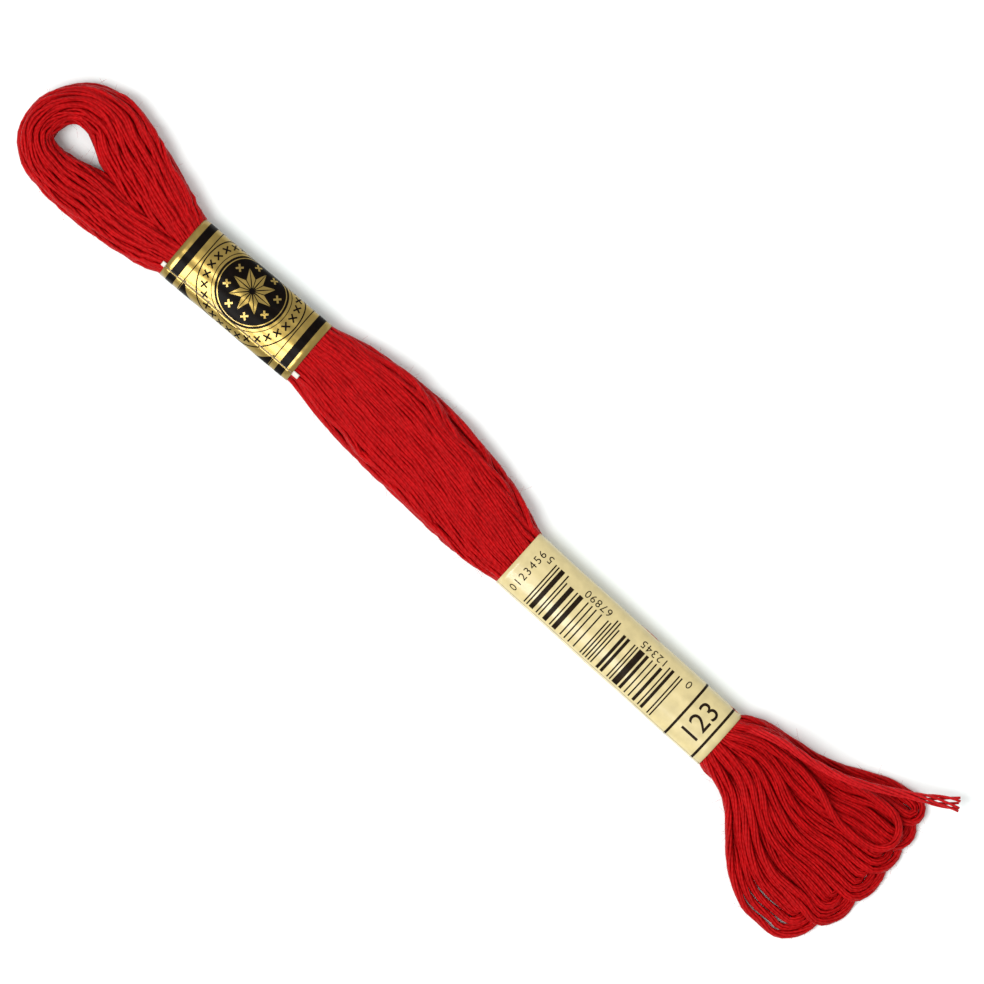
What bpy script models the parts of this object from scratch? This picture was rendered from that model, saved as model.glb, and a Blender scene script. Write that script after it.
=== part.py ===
"""A pull skein of six-strand embroidery floss, lying on a table.

The floss is wound into a hank, pressed flat and folded in half, so that two legs of thread run
from the open eye at one end to a fan of loops at the other. Two paper bands hold the legs
together, and the cut end of the floss lies on the fan. +X runs along the skein from the eye to
the fan, +Z is up, and the table is at z = 0.
Every size below is in millimetres, and every x is measured from the tip of the eye.
"""

import math

import bmesh
import bpy
import numpy as np
from mathutils import Vector

MM = 0.001

ORIGIN = (84.51, -4.14, 0.0)  # the middle of the footprint, from the tip of the eye
PAPER = 0.3  # thickness of a band's paper

# The two legs of thread, side by side: a row for each section across the skein. The seam is
# where the legs meet, sideways from the section's middle.
LEGS = (
    # x, middle y, width, underside z, crown z, seam
    (138.0, -3.3, 8.5, 0.7, 4.8, -0.6),
    (128.0, -3.55, 8.4, 0.7, 4.8, -0.4),
    (112.0, -3.95, 8.4, 0.7, 4.8, 0.0),
    (98.5, -4.25, 8.4, 0.7, 4.8, 0.4),
    (97.0, -4.25, 9.2, 0.7, 4.9, 0.5),
    (93.0, -3.85, 12.9, 0.2, 5.3, 0.9),
    (85.0, -3.2, 14.6, -0.1, 5.4, 0.6),
    (74.0, -2.8, 15.4, -0.3, 5.4, -0.4),
    (65.0, -3.1, 14.5, -0.1, 5.4, -1.2),
    (58.0, -3.3, 12.2, 0.3, 5.3, -0.8),
    (54.5, -3.65, 9.3, 0.7, 5.1, -0.4),
    (51.0, -3.85, 9.2, 0.7, 5.1, -0.3),
    (43.0, -4.35, 9.4, 0.7, 5.1, 0.0),
    (35.0, -4.8, 9.2, 0.7, 5.1, 0.3),
    (31.0, -5.05, 9.2, 0.7, 5.1, 0.2),
    (28.5, -5.2, 11.6, 0.4, 5.3, -0.1),
)
# The bundle round the eye, from the upper leg over the tip to the lower leg: a row for each
# section across it. A lean tips the section's top towards the outside of the bend.
EYE = (
    # x, y, width, underside z, crown z, lean in degrees
    (22.5, -1.6, 8.8, 0.0, 5.1, 0.0),
    (15.0, -0.3, 10.0, -0.3, 4.9, 0.0),
    (10.0, 1.25, 8.7, -0.3, 5.1, 5.0),
    (5.2, 0.3, 6.9, -0.2, 5.8, 15.0),
    (2.9, -2.5, 5.2, -0.2, 6.4, 22.0),
    (2.3, -5.3, 4.6, -0.2, 6.5, 24.0),
    (3.0, -7.9, 5.0, -0.2, 6.2, 18.0),
    (5.6, -9.7, 6.0, -0.3, 5.4, 8.0),
    (10.0, -10.1, 6.9, -0.3, 4.9, 0.0),
    (15.0, -9.3, 8.6, -0.3, 4.9, 0.0),
    (22.5, -8.8, 7.7, 0.0, 5.0, 0.0),
)
LEG_OVERLAP = 0.8  # how far each leg reaches over the seam
ROPES = 6  # main twists that show round each leg
ROPE_RADIUS = 1.45
LEG_TWIST = 1.5  # turns of the ropes round each leg from the fan to the eye and back
CORE_RADIUS = 1.35
CORE_OFFSETS = (-0.4, 0.4)  # of each leg's cores, as a share of its half width

# How the loops spread from the long band's mouth: the outermost threads' middles at each distance.
SPREAD = (
    # x, upper edge y, lower edge y, height of the top layer and of the bottom layer
    (137.6, -0.6, -6.1, 3.5, 2.1),
    (140.5, 1.5, -7.4, 3.9, 1.5),
    (145.0, 3.1, -8.9, 3.8, 1.0),
    (150.0, 4.1, -13.3, 3.5, 0.8),
)
# The loop ends along the fan's scalloped edge, from the upper corner to the lower one.
LOOP_TIPS = (
    # x, y
    (164.8, 11.0),
    (167.3, 9.2),
    (168.3, 6.9),
    (168.1, 4.5),
    (168.6, 1.9),
    (169.2, -0.9),
    (169.3, -3.9),
    (168.3, -6.5),
    (168.7, -9.2),
    (167.3, -11.9),
    (166.5, -14.3),
    (165.5, -16.4),
    (163.8, -18.2),
    (160.8, -19.4),
)
TIP_TOP, TIP_BOTTOM = 2.5, 0.75  # heights of a loop's two threads at its end
LOOP_RADIUS = 0.95
LOOP_WIDTH = 1.4  # between the two threads of a loop, at its end
LOOP_STEP = 2.0  # between a loop's points
LOOP_SINK = 0.4  # how much lower every other loop lies in the top layer
# The slab between the fan's layers.
FAN_CORE_INSET = 1.6  # from the outer threads' middles, at the sides
FAN_CORE_END_INSET = 2.4  # from the loops' ends
FAN_CORE_THICKNESS = 1.7
FAN_CORE_HEIGHT = 1.9  # of its middle

# The bands: a row for each, as an oval sleeve on a straight axis.
BANDS = {
    # name: x at both ends, y at both ends, outer width, underside z, crown z
    "short_band": ((30.7, 55.0), (-5.05, -3.6), 10.8, 0.05, 5.75),
    "long_band": ((97.9, 137.9), (-4.29, -3.3), 9.9, 0.05, 5.5),
}
BAND_SQUARENESS = 2.5  # exponent of the sleeve's superellipse
BAND_SIDES = 56
SMOOTHED_ANGLE = 50.0  # degrees between the sleeve's faces that are shaded as one

# The loose end: its middle line over the fan, on top of the loops.
LOOSE_END = (
    # x, y, z
    (138.6, 0.9, 5.75),
    (144.2, 2.4, 5.65),
    (150.3, 3.5, 5.25),
    (155.6, 5.4, 4.85),
    (159.4, 7.4, 4.55),
    (162.7, 9.4, 4.3),
    (166.0, 11.4, 4.0),
    (169.9, 13.9, 3.6),
)
LOOSE_END_DIAMETER = 1.16
LOOSE_END_STEP = 2.5  # between the tube's points

# The hank's skin: the ropes and loops are melted together on a grid, then thinned to facets.
MELT_GRID = 0.55
SMOOTHING_PASSES = 4
SMOOTHING_SHARE = 0.5
FACET_SHARE = 0.155  # of the melted skin's faces that are kept
WELD_DISTANCE = 0.001

TABLE_CUTTER = (300.0, 100.0, 20.0)  # the box under the table's surface


def metres(point):
    """A point of the tables in metres, still measured from the tip of the eye."""
    return Vector(point) * MM


def material(name, colour, roughness, metallic=0.0):
    mat = bpy.data.materials.new(name)
    mat.use_nodes = True
    shader = mat.node_tree.nodes["Principled BSDF"]
    shader.inputs["Base Color"].default_value = (*colour, 1.0)
    shader.inputs["Roughness"].default_value = roughness
    shader.inputs["Metallic"].default_value = metallic
    mat.diffuse_color = (*colour, 1.0)
    return mat


def smooth_rows(rows, step):
    """The rows of a table on a smooth curve, read off again about every step along x and y."""
    rows = np.array(rows, float)
    lengths = np.linalg.norm(np.diff(rows[:, :2], axis=0), axis=1)
    knots = np.concatenate([[0.0], np.cumsum(lengths)])
    slopes = np.gradient(rows, knots, axis=0)
    at = np.linspace(0.0, knots[-1], math.ceil(knots[-1] / step) + 1)
    i = np.clip(np.searchsorted(knots, at, side="right") - 1, 0, len(knots) - 2)
    span = (knots[i + 1] - knots[i])[:, None]
    t = (at - knots[i])[:, None] / span
    return (
        (2 * t**3 - 3 * t**2 + 1) * rows[i]
        + (t**3 - 2 * t**2 + t) * span * slopes[i]
        + (3 * t**2 - 2 * t**3) * rows[i + 1]
        + (t**3 - t**2) * span * slopes[i + 1]
    )


def leg_rows(side):
    """One leg's sections, in rows like the eye's: side is 1 for the upper leg, -1 for the lower."""
    rows = []
    for x, middle, width, low, high, seam in LEGS:
        outer = middle + side * width / 2
        inner = middle + seam - side * LEG_OVERLAP
        rows.append((x, (outer + inner) / 2, abs(outer - inner), low, high, 0.0))
    return rows


def bundle_sections(step):
    """The whole bundle's sections: along the upper leg, round the eye and back along the lower."""
    return smooth_rows(leg_rows(1) + list(EYE) + leg_rows(-1)[::-1], step)


def across(sections):
    """The unit vectors across the bundle, towards the outside of the bend."""
    along = np.gradient(sections[:, :2], axis=0)
    along /= np.linalg.norm(along, axis=1)[:, None]
    return np.stack([along[:, 1], -along[:, 0]], axis=1)


def in_section(sections, sideways, upwards, radius):
    """Points in the sections, at shares -1 to 1 of what a rope of that radius can reach."""
    width, low, high = sections[:, 2], sections[:, 3], sections[:, 4]
    lean = np.radians(sections[:, 5])
    side = sideways * (width / 2 - radius)
    rise = upwards * ((high - low) / 2 - radius)
    out = side * np.cos(lean) + rise * np.sin(lean)
    up = rise * np.cos(lean) - side * np.sin(lean)
    xy = sections[:, :2] + across(sections) * out[:, None]
    return np.column_stack([xy, (low + high) / 2 + up])


def tube(name, points, radius):
    """A round thread along points of the tables, with closed ends."""
    curve = bpy.data.curves.new(name, "CURVE")
    curve.dimensions = "3D"
    curve.bevel_depth = radius * MM
    curve.bevel_resolution = 2
    curve.use_fill_caps = True
    spline = curve.splines.new("POLY")
    spline.points.add(len(points) - 1)
    for place, point in zip(spline.points, points):
        place.co = (*metres(point), 1.0)
    obj = bpy.data.objects.new(name, curve)
    bpy.context.scene.collection.objects.link(obj)
    return obj


def leg_ropes():
    """The main twists round the bundle, and the cores that fill it."""
    sections = bundle_sections(2.5)
    turn = np.linspace(0.0, LEG_TWIST, len(sections))
    ropes = []
    for k in range(ROPES):
        angle = 2 * math.pi * (k / ROPES + turn)
        points = in_section(sections, np.cos(angle), np.sin(angle), ROPE_RADIUS)
        ropes.append(tube(f"rope_{k}", points, ROPE_RADIUS))
    for k, offset in enumerate(CORE_OFFSETS):
        points = in_section(sections, offset, 0.0, CORE_RADIUS)
        ropes.append(tube(f"core_{k}", points, CORE_RADIUS))
    return ropes


def loop_route(tip, sink):
    """One loop of the fan: out in the top layer to its tip, round it, and back in the bottom layer."""
    first, last = LOOP_TIPS[0][1], LOOP_TIPS[-1][1]
    share = (first - tip[1]) / (first - last)
    mouth = []
    for x, upper, lower, top, bottom in SPREAD:
        mouth.append((x, upper + (lower - upper) * share, top - sink, bottom))
    heading = (Vector(tip) - Vector(mouth[-1][:2])).normalized() * LOOP_WIDTH / 2
    aside = heading.orthogonal()
    centre = Vector(tip) - heading - heading.normalized() * LOOP_RADIUS
    turn = []
    for angle in np.linspace(-math.pi / 2, math.pi / 2, 5):
        place = centre + heading * math.cos(angle) + aside * math.sin(angle)
        drop = (1 + math.sin(angle)) / 2
        turn.append((*place, TIP_TOP + (TIP_BOTTOM - TIP_TOP) * drop))
    out = smooth_rows([row[:3] for row in mouth] + turn[:1], LOOP_STEP)
    back = smooth_rows([(*row[:2], row[3]) for row in mouth] + turn[-1:], LOOP_STEP)
    return [*out, *turn[1:-1], *back[::-1]]


def fan_loops():
    """A loop of thread to each end along the fan's edge."""
    loops = []
    for k, tip in enumerate(LOOP_TIPS):
        loops.append(tube(f"loop_{k}", loop_route(tip, LOOP_SINK * (k % 2)), LOOP_RADIUS))
    return loops


def fan_core():
    """The threads inside the fan, as a slab between its two layers."""
    upper = [(row[0], row[1] - FAN_CORE_INSET) for row in SPREAD]
    lower = [(row[0], row[2] + FAN_CORE_INSET) for row in SPREAD]
    edge = [(x - FAN_CORE_END_INSET, y) for x, y in LOOP_TIPS[1:-2]]
    outline = [*upper, *edge, *lower[::-1]]
    curve = bpy.data.curves.new("fan_core", "CURVE")
    curve.dimensions = "2D"
    curve.fill_mode = "BOTH"
    curve.extrude = FAN_CORE_THICKNESS / 2 * MM
    spline = curve.splines.new("POLY")
    spline.points.add(len(outline) - 1)
    for place, (x, y) in zip(spline.points, outline):
        place.co = (*metres((x, y, 0.0)).xy, 0.0, 1.0)
    spline.use_cyclic_u = True
    obj = bpy.data.objects.new("fan_core", curve)
    obj.location.z = FAN_CORE_HEIGHT * MM
    bpy.context.scene.collection.objects.link(obj)
    return obj


def joined(name, shapes):
    """The curves as one mesh object, with their caps welded, in place of them."""
    bpy.context.view_layer.update()
    graph = bpy.context.evaluated_depsgraph_get()
    mesh = bpy.data.meshes.new(name)
    bm = bmesh.new()
    for shape in shapes:
        part = bpy.data.meshes.new_from_object(shape.evaluated_get(graph))
        part.transform(shape.matrix_world)
        bm.from_mesh(part)
        bpy.data.meshes.remove(part)
    bmesh.ops.remove_doubles(bm, verts=bm.verts, dist=WELD_DISTANCE * MM)
    bm.to_mesh(mesh)
    bm.free()
    for shape in shapes:
        bpy.data.objects.remove(shape)
    return bpy.data.objects.new(name, mesh)


def table_cutter(collection):
    """A box under the table's surface, which gives what rests on it a flat underside."""
    bpy.ops.mesh.primitive_cube_add(size=1.0)
    box = bpy.context.object
    box.name = "table_cutter"
    box.scale = metres(TABLE_CUTTER)
    box.location.z = -TABLE_CUTTER[2] / 2 * MM
    box.display_type = "WIRE"
    box.hide_render = True
    for owner in list(box.users_collection):
        owner.objects.unlink(box)
    collection.objects.link(box)
    return box


def hank(skein, cutters, floss):
    """The wound floss: legs, eye and fan melted into one solid, flat where it rests."""
    obj = joined("hank", [*leg_ropes(), *fan_loops(), fan_core()])
    skein.objects.link(obj)
    obj.data.materials.append(floss)
    melt = obj.modifiers.new("melt", "REMESH")
    melt.mode = "VOXEL"
    melt.voxel_size = MELT_GRID * MM
    melt.use_smooth_shade = True
    relax = obj.modifiers.new("relax", "SMOOTH")
    relax.factor = SMOOTHING_SHARE
    relax.iterations = SMOOTHING_PASSES
    thin = obj.modifiers.new("thin", "DECIMATE")
    thin.ratio = FACET_SHARE
    thin.use_collapse_triangulate = True
    flat = obj.modifiers.new("flat", "BOOLEAN")
    flat.operation = "DIFFERENCE"
    flat.solver = "EXACT"
    flat.object = table_cutter(cutters)
    return obj


def superellipse(angle, half_width, half_height):
    """A point of the band's section at that angle."""
    power = 2 / BAND_SQUARENESS
    c, s = math.cos(angle), math.sin(angle)
    return (
        math.copysign(abs(c) ** power, c) * half_width,
        math.copysign(abs(s) ** power, s) * half_height,
    )


def band(name, skein, paper):
    """A paper sleeve: an open oval tube along its axis, thickened inwards."""
    (x0, x1), (y0, y1), width, low, high = BANDS[name]
    length = math.hypot(x1 - x0, y1 - y0)
    bpy.ops.mesh.primitive_cylinder_add(
        vertices=BAND_SIDES, radius=1.0, depth=length, end_fill_type="NOTHING"
    )
    obj = bpy.context.object
    obj.name = name
    obj.data.name = name
    for vertex in obj.data.vertices:
        along = vertex.co.z
        angle = math.atan2(vertex.co.y, vertex.co.x)
        side, rise = superellipse(angle, width / 2, (high - low) / 2)
        vertex.co = Vector((along, side, rise)) * MM
    obj.data.shade_smooth()
    obj.data.set_sharp_from_angle(angle=math.radians(SMOOTHED_ANGLE))
    obj.data.materials.append(paper)
    obj.location = metres(((x0 + x1) / 2, (y0 + y1) / 2, (low + high) / 2))
    obj.rotation_euler.z = math.atan2(y1 - y0, x1 - x0)
    wall = obj.modifiers.new("paper", "SOLIDIFY")
    wall.thickness = PAPER * MM
    wall.offset = -1.0
    for owner in list(obj.users_collection):
        owner.objects.unlink(obj)
    skein.objects.link(obj)
    return obj


def loose_end(skein, floss):
    """The cut end of the floss, lying on the fan's upper edge."""
    obj = tube("loose_end", smooth_rows(LOOSE_END, LOOSE_END_STEP), LOOSE_END_DIAMETER / 2)
    bpy.context.scene.collection.objects.unlink(obj)
    skein.objects.link(obj)
    obj.data.materials.append(floss)
    return obj


def main():
    for obj in list(bpy.data.objects):
        bpy.data.objects.remove(obj, do_unlink=True)
    skein = bpy.data.collections.new("embroidery_floss_skein")
    cutters = bpy.data.collections.new("cutters")
    for collection in (skein, cutters):
        bpy.context.scene.collection.children.link(collection)
    eye_tip = bpy.data.objects.new("eye_tip", None)
    eye_tip.location = -metres(ORIGIN)
    skein.objects.link(eye_tip)
    pieces = [
        hank(skein, cutters, material("red_floss", (0.55, 0.006, 0.012), 0.62)),
        band("short_band", skein, material("gold_paper", (0.50, 0.36, 0.10), 0.35, 0.6)),
        band("long_band", skein, material("cream_paper", (0.76, 0.68, 0.40), 0.45)),
        loose_end(skein, material("red_floss_end", (0.62, 0.008, 0.016), 0.6)),
    ]
    for piece in pieces:
        piece.parent = eye_tip


main()
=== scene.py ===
"""A pull skein of red six-strand embroidery floss on a pale table, built thread by thread.

Sizes are in millimetres from the tip of the eye, as in the model's source; place() turns them
into the frame's metres.
"""

import math

import bmesh
import bpy
import numpy as np
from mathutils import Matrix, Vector
from mathutils.kdtree import KDTree


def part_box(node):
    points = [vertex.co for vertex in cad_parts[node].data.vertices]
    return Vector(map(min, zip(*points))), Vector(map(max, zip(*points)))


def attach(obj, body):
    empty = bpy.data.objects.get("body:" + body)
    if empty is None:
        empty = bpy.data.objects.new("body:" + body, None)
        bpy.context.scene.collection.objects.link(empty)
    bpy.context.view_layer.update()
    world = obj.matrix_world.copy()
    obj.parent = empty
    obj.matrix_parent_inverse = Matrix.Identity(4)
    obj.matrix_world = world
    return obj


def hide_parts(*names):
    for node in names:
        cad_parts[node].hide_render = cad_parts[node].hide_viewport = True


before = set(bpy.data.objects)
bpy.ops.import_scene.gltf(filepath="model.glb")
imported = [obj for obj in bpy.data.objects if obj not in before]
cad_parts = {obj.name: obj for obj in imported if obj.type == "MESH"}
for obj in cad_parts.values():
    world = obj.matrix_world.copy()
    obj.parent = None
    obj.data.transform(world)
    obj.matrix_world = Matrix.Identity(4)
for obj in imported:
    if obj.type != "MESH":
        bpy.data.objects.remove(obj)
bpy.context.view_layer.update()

MM = 0.001
HANK_LOW, HANK_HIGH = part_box("hank")
ZERO_LINE = 4.14  # the line that the tables' y is measured from, to +Y of the hank's middle
# The tip of the eye on that line, in the frame.
ORIGIN = np.array([HANK_LOW[0] / MM, (HANK_LOW[1] + HANK_HIGH[1]) / 2 / MM + ZERO_LINE, 0.0])
SEED = 20

# ---- camera

VIEW_WIDTH = 144.7
VIEW_MIDDLE = (88.5, 0.0, 2.5)
VIEW_TURN = math.radians(43.5)
LENS = 200.0
SENSOR = 36.0

# ---- the floss

STRANDS = 6
THREADS = 24  # round the eye, and in each leg
STEP = 1.0  # between a thread's stations
SIDES = 6

# Both legs together: a row for each section across the skein.
BUNDLE = (
    # x, middle y, width, underside z, crown z
    (28.0, -5.28, 12.6, 0.2, 5.2),
    (30.0, -5.15, 11.2, 0.28, 5.35),
    (31.5, -5.05, 10.3, 0.32, 5.45),
    (43.0, -4.35, 10.2, 0.35, 5.45),
    (54.0, -3.68, 10.2, 0.32, 5.4),
    (55.5, -3.55, 10.5, 0.3, 5.35),
    (57.5, -3.31, 11.3, 0.2, 5.3),
    (60.0, -3.16, 12.5, 0.1, 5.25),
    (65.0, -3.01, 14.0, 0.05, 5.2),
    (70.0, -2.87, 14.85, 0.05, 5.2),
    (76.0, -2.8, 15.15, 0.05, 5.2),
    (82.5, -3.08, 14.6, 0.05, 5.2),
    (90.0, -3.6, 13.4, 0.05, 5.2),
    (95.0, -4.04, 11.3, 0.2, 5.15),
    (97.5, -4.2, 9.9, 0.3, 5.1),
    (99.5, -4.25, 9.3, 0.35, 5.05),
    (118.0, -3.8, 9.3, 0.35, 5.05),
)
# The bundle round the eye, from the upper leg over the tip to the lower leg: a row for each
# section across it. A lean tips the section's top towards the outside of the bend.
EYE = (
    # x, y, width, underside z, crown z, lean in degrees
    (28.0, -2.45, 7.0, 0.2, 5.2, 0.0),
    (22.5, -1.75, 9.0, 0.05, 4.9, 0.0),
    (15.0, -0.15, 9.7, 0.05, 4.7, 0.0),
    (10.0, 1.2, 8.3, 0.05, 4.9, 5.0),
    (5.8, 0.1, 6.6, 0.1, 5.6, 20.0),
    (3.7, -2.5, 4.9, 0.1, 6.1, 36.0),
    (3.1, -5.3, 4.5, 0.1, 6.3, 42.0),
    (3.6, -7.8, 4.8, 0.1, 6.0, 30.0),
    (5.8, -9.6, 6.1, 0.05, 5.4, 12.0),
    (10.0, -10.05, 7.0, 0.05, 4.7, 0.0),
    (15.0, -9.35, 8.4, 0.05, 4.6, 0.0),
    (22.5, -8.8, 7.7, 0.05, 4.8, 0.0),
    (28.0, -8.1, 6.9, 0.2, 5.2, 0.0),
)
BUNDLE_END = 118.0  # where the legs' threads meet the fan's, inside the long band
JOIN = 28.0  # the legs are one bundle from here on
SPLIT = 16.0  # the sections turn round the bend before this
SQUARENESS = 2.3
BUNDLE_TURN = (60.0, 104.0, 24.0)  # the bundle turns from one x to another by so many degrees
STRAY = (0.22, 0.85)  # how far a thread strays sideways: in the bulge and round the eye
LOOSENESS = (1.0, 1.7)  # of a thread's strands: in the bulge and round the eye
STRAY_LENGTHS = (22.0, 37.0, 64.0)
# At these x, how far a strand may stand out of its section: nowhere under the bands.
UNDER_BANDS = ((26.5, 29.5, 56.5, 59.5, 94.0, 96.7), (1.0, 0.0, 0.0, 1.0, 1.0, 0.0))
PRESSURE = 1.015  # spreads the threads until they fill each section
SECTION_FILL = 0.83  # of a section's box that lies within its rounded outline
THREAD_FILL = 0.86  # of that which the threads' own sections take
THREAD_WIDTHS = (0.95, 1.3)  # the narrowest and the widest
START_FILL = 0.86  # of a section that the threads are first laid in
LEG_START = (0.5, 0.48, 0.95)  # one leg's middle, half width and share of the bundle's section
RELAX_ROUNDS = 180
EASE_ROUNDS = 8
BATCH = 12  # sections whose threads are pushed apart at once

# The strands' places in a thread, and how they wander.
BUNDLE_PITCH = -24.0  # of the strands' twist
RING_SHARE = 0.268  # of a thread's width, from its middle to its strands'
STRAND_SHARE = 0.205  # of a thread's width: a strand's radius
WANDER_PITCHES = (7.0, 15.0)
WANDER_TURN = 0.35  # radians
WANDER_SPREAD = 0.2  # of the ring
OVAL = 0.12  # of the ring
STRETCH = (0.85, 1.2)  # the limits of the sections' sideways fit


def place(points):
    """Points of the tables, in the frame's metres."""
    return (np.asarray(points, float) + ORIGIN) * MM


def smooth_rows(rows, step=None, at=None):
    """The rows of a table on a smooth curve, read off about every step along x and y, or at these x."""
    rows = np.array(rows, float)
    if at is None:
        lengths = np.linalg.norm(np.diff(rows[:, :2], axis=0), axis=1)
        knots = np.concatenate([[0.0], np.cumsum(lengths)])
        at = np.linspace(0.0, knots[-1], math.ceil(knots[-1] / step) + 1)
    else:
        knots = rows[:, 0]
    slopes = np.gradient(rows, knots, axis=0)
    i = np.clip(np.searchsorted(knots, at, side="right") - 1, 0, len(knots) - 2)
    span = (knots[i + 1] - knots[i])[:, None]
    t = (at - knots[i])[:, None] / span
    return (
        (2 * t**3 - 3 * t**2 + 1) * rows[i]
        + (t**3 - 2 * t**2 + t) * span * slopes[i]
        + (3 * t**2 - 2 * t**3) * rows[i + 1]
        + (t**3 - t**2) * span * slopes[i + 1]
    )


def disc_points(count):
    """Points spread evenly over the unit disc."""
    k = np.arange(count) + 0.5
    angle = math.pi * (1 + 5**0.5) * k
    radius = np.sqrt(k / count)
    return np.stack([radius * np.cos(angle), radius * np.sin(angle)], axis=1)


def strays(rng, count, along):
    """A smooth wander for each of so many threads along their length, two wide."""
    wander = np.zeros((len(along), count, 2))
    for length in STRAY_LENGTHS:
        phase = rng.uniform(0, 2 * math.pi, (1, count, 2))
        pitch = length * rng.uniform(0.8, 1.25, (1, count, 2))
        wander += np.sin(2 * math.pi * along[:, None, None] / pitch + phase)
    return wander / len(STRAY_LENGTHS)


def apart(points, width):
    """How far each point has to move for none of its section to be nearer than width."""
    move = np.empty_like(points)
    for first in range(0, len(points), BATCH):
        part = points[first : first + BATCH]
        gap = part[:, :, None] - part[:, None]
        distance = np.sqrt((gap**2).sum(-1)) + 1e-6
        want = width[first : first + BATCH, None, None]
        push = np.clip(want - distance, 0.0, None) / distance
        count = part.shape[1]
        push[:, range(count), range(count)] = 0.0
        move[first : first + BATCH] = 0.5 * (push[..., None] * gap).sum(2)
    return move


def within(points, centre, half, lean, radius):
    """The points, drawn back into rounded sections of those half sizes, less their own radius."""
    c, s = np.cos(lean)[:, None], np.sin(lean)[:, None]
    off = points - centre[:, None]
    a = off[..., 0] * c - off[..., 1] * s
    b = off[..., 0] * s + off[..., 1] * c
    wide = (half[:, 0] - radius)[:, None]
    tall = (half[:, 1] - radius)[:, None]
    reach = (np.abs(a / wide) ** SQUARENESS + np.abs(b / tall) ** SQUARENESS) ** (1 / SQUARENESS)
    scale = 1 / np.maximum(reach, 1.0)
    a, b = a * scale, b * scale
    return centre[:, None] + np.stack([a * c + b * s, b * c - a * s], axis=-1)


class Sections:
    """The bundle's sections: from the fan along the upper leg, round the eye and back."""

    def __init__(self):
        at = np.arange(BUNDLE_END, SPLIT - 0.5, -STEP)
        joined = smooth_rows(BUNDLE, at=np.clip(at, JOIN, None)[::-1])[::-1]
        eye = smooth_rows(EYE, step=STEP)
        tip = int(np.argmin(eye[:, 0]))
        upper, lower = eye[: tip + 1], eye[tip:]
        bend = eye[(eye[:, 0] < SPLIT - 0.5)]
        self.legs = len(at)
        self.whole = int((at >= JOIN).sum())  # of them, the sections where both legs are one bundle
        rows = []
        for leg, turned in ((upper[::-1], False), (lower, True)):
            part = np.array([np.interp(at, leg[:, 0], leg[:, k]) for k in range(6)]).T
            part[:, 0] = at
            part[: self.whole, 1:5] = joined[: self.whole, 1:5]
            part[: self.whole, 5] = 0.0
            rows.append(part[::-1] if turned else part)
        rows = np.concatenate([rows[0], bend, rows[1]])
        along = np.gradient(rows[:, :2], axis=0)
        turn = np.unwrap(np.arctan2(-along[:, 0], along[:, 1]))
        turn[: self.legs] = math.pi / 2
        turn[-self.legs :] = 1.5 * math.pi
        soft = np.convolve(np.pad(turn, 3, mode="edge"), np.ones(7) / 7, mode="valid")
        soft[: self.legs - 3] = math.pi / 2
        soft[-self.legs + 3 :] = 1.5 * math.pi
        self.side = np.stack([np.cos(soft), np.sin(soft)], axis=1)
        self.centre = rows[:, :2]
        self.z = (rows[:, 3] + rows[:, 4]) / 2
        self.half = np.stack([rows[:, 2] / 2, (rows[:, 4] - rows[:, 3]) / 2], axis=1)
        self.lean = np.radians(rows[:, 5])
        steps = np.linalg.norm(np.diff(self.centre, axis=0), axis=1)
        self.along = np.concatenate([[0.0], np.cumsum(steps)])
        self.count = len(rows)
        area = SECTION_FILL * 4 * self.half[:, 0] * self.half[:, 1]
        whole = np.zeros(self.count, bool)
        whole[: self.whole] = whole[-self.whole :] = True
        self.room = area / np.where(whole, 2 * THREADS, THREADS)  # for each thread

    def world(self, flat):
        """Points of the sections, (sideways, up) from each one's middle, in the tables' millimetres."""
        xy = self.centre[:, None] + flat[..., :1] * self.side[:, None]
        return np.concatenate([xy, flat[..., 1:] + self.z[:, None, None]], axis=-1)

    def pushed(self, flat, width):
        """Points moved apart, the two legs together where they run side by side."""
        n = self.legs
        points = self.world(flat)
        upper, lower = points[:n], points[::-1][:n]
        both = np.concatenate([upper, lower], axis=1)[..., 1:]
        move = apart(both, width[:n])
        many = flat.shape[1]
        out = flat.copy()
        out[:n] += move[:, :many]
        back = move[:, many:].copy()
        back[..., 0] *= -1
        out[-n:] += back[::-1]
        out[n:-n] += apart(flat[n:-n], width[n:-n])
        return out

    def eased(self, flat, share):
        """Points drawn towards their neighbours along the threads, within the bundle's own bend."""
        points = self.world(flat)
        points -= points.mean(1, keepdims=True)
        mean = points.copy()
        mean[1:-1] = (points[:-2] + points[2:]) / 2
        off = (mean - points) * share
        flat = flat.copy()
        flat[..., 0] += (off[..., :2] * self.side[:, None]).sum(-1)
        flat[..., 1] += off[..., 2]
        return flat

    def contained(self, flat, radius):
        return within(flat, np.zeros((self.count, 2)), self.half, self.lean, radius)


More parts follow.
